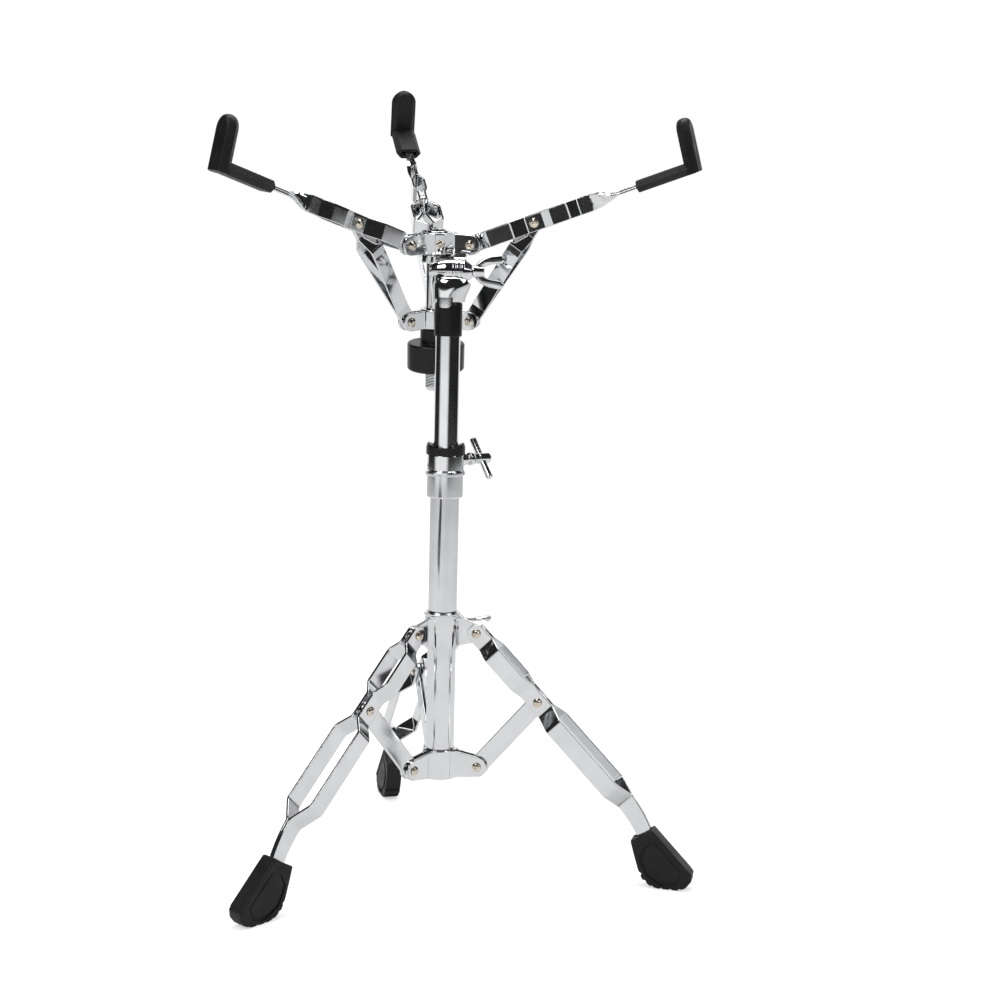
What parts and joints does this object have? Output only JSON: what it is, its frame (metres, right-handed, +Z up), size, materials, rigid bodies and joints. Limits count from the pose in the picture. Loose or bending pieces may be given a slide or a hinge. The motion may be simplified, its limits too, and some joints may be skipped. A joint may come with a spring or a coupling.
{
  "type": "snare drum stand",
  "caption": "Folding chrome snare drum stand: double-braced tripod with rubber feet, clamped telescoping column, tilter, and a basket of rubber-tipped arms that grips the drum.",
  "frame": {"origin": "on the floor, under the middle of the whole stand's bounding box", "axes": "+Z up along the column; the basket leans towards -Y, the side the player sits on; +X to the right seen from -Y"},
  "size_m": [0.3652, 0.379, 0.6205],
  "materials": {
    "chrome": "bright chrome plate",
    "rivet_metal": "warm nickel-plated rivet heads",
    "black_rubber": "satin moulded black rubber",
    "black_plastic": "satin black nylon"
  },
  "bodies": {
    "base": {"lower_tube": "chrome", "base_collar": "chrome", "clamp_body": "chrome", "clamp_bushing": "black_plastic", "brace_rivet_right": "rivet_metal", "brace_rivet_back": "rivet_metal", "brace_rivet_left": "rivet_metal"},
    "leg_slider": {"leg_collar": "chrome", "leg_top_rivet_right": "rivet_metal", "leg_top_rivet_back": "rivet_metal", "leg_top_rivet_left": "rivet_metal"},
    "leg_lock": {"leg_collar_screw": "chrome"},
    "clamp_bolt": {"clamp_t_bolt": "chrome"},
    "column": {"upper_tube": "chrome", "tube_sleeve": "black_plastic"},
    "tilter": {"tilter_base": "chrome", "tilter_bolt": "chrome"},
    "wing_nut": {"tilter_wing_nut": "chrome"},
    "basket": {"tilter_head": "chrome", "basket_hub": "chrome", "basket_rod": "chrome", "hub_screw": "rivet_metal", "hub_rivet_right": "rivet_metal", "hub_rivet_back": "rivet_metal", "hub_rivet_left": "rivet_metal"},
    "basket_slider": {"basket_collar": "chrome", "collar_rivet_right": "rivet_metal", "collar_rivet_back": "rivet_metal", "collar_rivet_left": "rivet_metal"},
    "knob": {"basket_knob": "black_plastic"},
    "leg_right": {"leg_right_strap_a": "chrome", "leg_right_strap_b": "chrome", "foot_right": "black_rubber", "leg_mid_rivet_right": "rivet_metal"},
    "brace_right": {"brace_right": "chrome"},
    "arm_right": {"arm_right": "chrome", "grip_right": "black_rubber", "arm_rivet_right": "rivet_metal"},
    "link_right": {"link_right_a": "chrome", "link_right_b": "chrome"},
    "leg_back": {"leg_back_strap_a": "chrome", "leg_back_strap_b": "chrome", "foot_back": "black_rubber", "leg_mid_rivet_back": "rivet_metal"},
    "brace_back": {"brace_back": "chrome"},
    "arm_back": {"arm_back": "chrome", "grip_back": "black_rubber", "arm_rivet_back": "rivet_metal"},
    "link_back": {"link_back_a": "chrome", "link_back_b": "chrome"},
    "leg_left": {"leg_left_strap_a": "chrome", "leg_left_strap_b": "chrome", "foot_left": "black_rubber", "leg_mid_rivet_left": "rivet_metal"},
    "brace_left": {"brace_left": "chrome"},
    "arm_left": {"arm_left": "chrome", "grip_left": "black_rubber", "arm_rivet_left": "rivet_metal"},
    "link_left": {"link_left_a": "chrome", "link_left_b": "chrome"}
  },
  "joints": [
    {"name": "height_slide", "type": "slide", "parent": "base", "child": "column", "axis": [0, 0, 1], "range_m": [-0.079, 0.099]},
    {"name": "basket_swivel", "type": "hinge", "parent": "column", "child": "tilter", "pos_m": [-0.01626, -0.03517, 0.465], "axis": [0, 0, 1], "continuous": true},
    {"name": "basket_tilt", "type": "hinge", "parent": "tilter", "child": "basket", "pos_m": [-0.01626, -0.03517, 0.465], "axis": [1, 0, 0], "range_deg": [-9.8, 35]},
    {"name": "wing_nut_turn", "type": "hinge", "parent": "tilter", "child": "wing_nut", "pos_m": [-0.01626, -0.03517, 0.465], "axis": [1, 0, 0], "continuous": true},
    {"name": "clamp_bolt_turn", "type": "hinge", "parent": "base", "child": "clamp_bolt", "pos_m": [0.01093, -0.01235, 0.3206], "axis": [0.766, 0.6428, 0], "continuous": true},
    {"name": "leg_fold", "type": "slide", "parent": "base", "child": "leg_slider", "axis": [0, 0, 1], "range_m": [-0.004, 0.032]},
    {"name": "leg_lock_turn", "type": "hinge", "parent": "leg_slider", "child": "leg_lock", "pos_m": [0.01905, -0.01639, 0.1942], "axis": [0.8829, 0.4695, 0], "continuous": true},
    {"name": "basket_grip", "type": "slide", "parent": "basket", "child": "basket_slider", "axis": [0, -0.17, 0.9854], "range_m": [-0.009, 0.012]},
    {"name": "knob_turn", "type": "hinge", "parent": "basket_slider", "child": "knob", "pos_m": [-0.02736, 0.00133, 0.4875], "axis": [0, -0.17, 0.9854], "continuous": true},
    {"name": "leg_right_hinge", "type": "hinge", "parent": "leg_slider", "child": "leg_right", "pos_m": [0.01153, -0.04192, 0.1874], "axis": [0.236, 0.9718, 0], "range_deg": [-3.1, 24.5]},
    {"name": "brace_right_hinge", "type": "hinge", "parent": "base", "child": "brace_right", "pos_m": [0.01406, -0.04253, 0.0816], "axis": [0.236, 0.9718, 0], "range_deg": [-23.2, 3]},
    {"name": "arm_right_hinge", "type": "hinge", "parent": "basket", "child": "arm_right", "pos_m": [-0.00033, -0.00756, 0.48597], "axis": [0.3166, 0.9347, 0.1613], "range_deg": [-18.8, 14.2]},
    {"name": "link_right_hinge", "type": "hinge", "parent": "basket_slider", "child": "link_right", "pos_m": [-0.00005, 0.00246, 0.42732], "axis": [0.3166, 0.9347, 0.1613], "range_deg": [-5.4, 4.1]},
    {"name": "leg_back_hinge", "type": "hinge", "parent": "leg_slider", "child": "leg_back", "pos_m": [-0.02431, -0.00773, 0.1874], "axis": [-0.9596, -0.2815, 0], "range_deg": [-3.1, 24.5]},
    {"name": "brace_back_hinge", "type": "hinge", "parent": "base", "child": "brace_back", "pos_m": [-0.02505, -0.00523, 0.0816], "axis": [-0.9596, -0.2815, 0], "range_deg": [-23.2, 3]},
    {"name": "arm_back_hinge", "type": "hinge", "parent": "basket", "child": "arm_back", "pos_m": [-0.03307, 0.02885, 0.49225], "axis": [-0.9798, -0.1971, -0.034], "range_deg": [-18.8, 14.2]},
    {"name": "link_back_hinge", "type": "hinge", "parent": "basket_slider", "child": "link_back", "pos_m": [-0.03313, 0.03925, 0.43366], "axis": [-0.9798, -0.1971, -0.034], "range_deg": [-5.4, 4.1]},
    {"name": "leg_left_hinge", "type": "hinge", "parent": "leg_slider", "child": "leg_left", "pos_m": [-0.03562, -0.05622, 0.1874], "axis": [0.7361, -0.6769, 0], "range_deg": [-3.1, 24.5]},
    {"name": "brace_left_hinge", "type": "hinge", "parent": "base", "child": "brace_left", "pos_m": [-0.03738, -0.05814, 0.0816], "axis": [0.7361, -0.6769, 0], "range_deg": [-23.2, 3]},
    {"name": "arm_left_hinge", "type": "hinge", "parent": "basket", "child": "arm_left", "pos_m": [-0.04811, -0.01793, 0.48418], "axis": [0.6858, -0.7172, -0.1238], "range_deg": [-18.8, 14.2]},
    {"name": "link_left_hinge", "type": "hinge", "parent": "basket_slider", "child": "link_left", "pos_m": [-0.04832, -0.00802, 0.42551], "axis": [0.6858, -0.7172, -0.1238], "range_deg": [-5.4, 4.1]}
  ],
  "couplings": [
    {"joint": "leg_right_hinge", "follows": "leg_fold", "rad_per_m": 13.3},
    {"joint": "brace_right_hinge", "follows": "leg_fold", "rad_per_m": -12.6},
    {"joint": "arm_right_hinge", "follows": "basket_grip", "rad_per_m": -27.25},
    {"joint": "link_right_hinge", "follows": "basket_grip", "rad_per_m": -7.75},
    {"joint": "leg_back_hinge", "follows": "leg_fold", "rad_per_m": 13.3},
    {"joint": "brace_back_hinge", "follows": "leg_fold", "rad_per_m": -12.6},
    {"joint": "arm_back_hinge", "follows": "basket_grip", "rad_per_m": -27.25},
    {"joint": "link_back_hinge", "follows": "basket_grip", "rad_per_m": -7.75},
    {"joint": "leg_left_hinge", "follows": "leg_fold", "rad_per_m": 13.3},
    {"joint": "brace_left_hinge", "follows": "leg_fold", "rad_per_m": -12.6},
    {"joint": "arm_left_hinge", "follows": "basket_grip", "rad_per_m": -27.25},
    {"joint": "link_left_hinge", "follows": "basket_grip", "rad_per_m": -7.75}
  ]
}
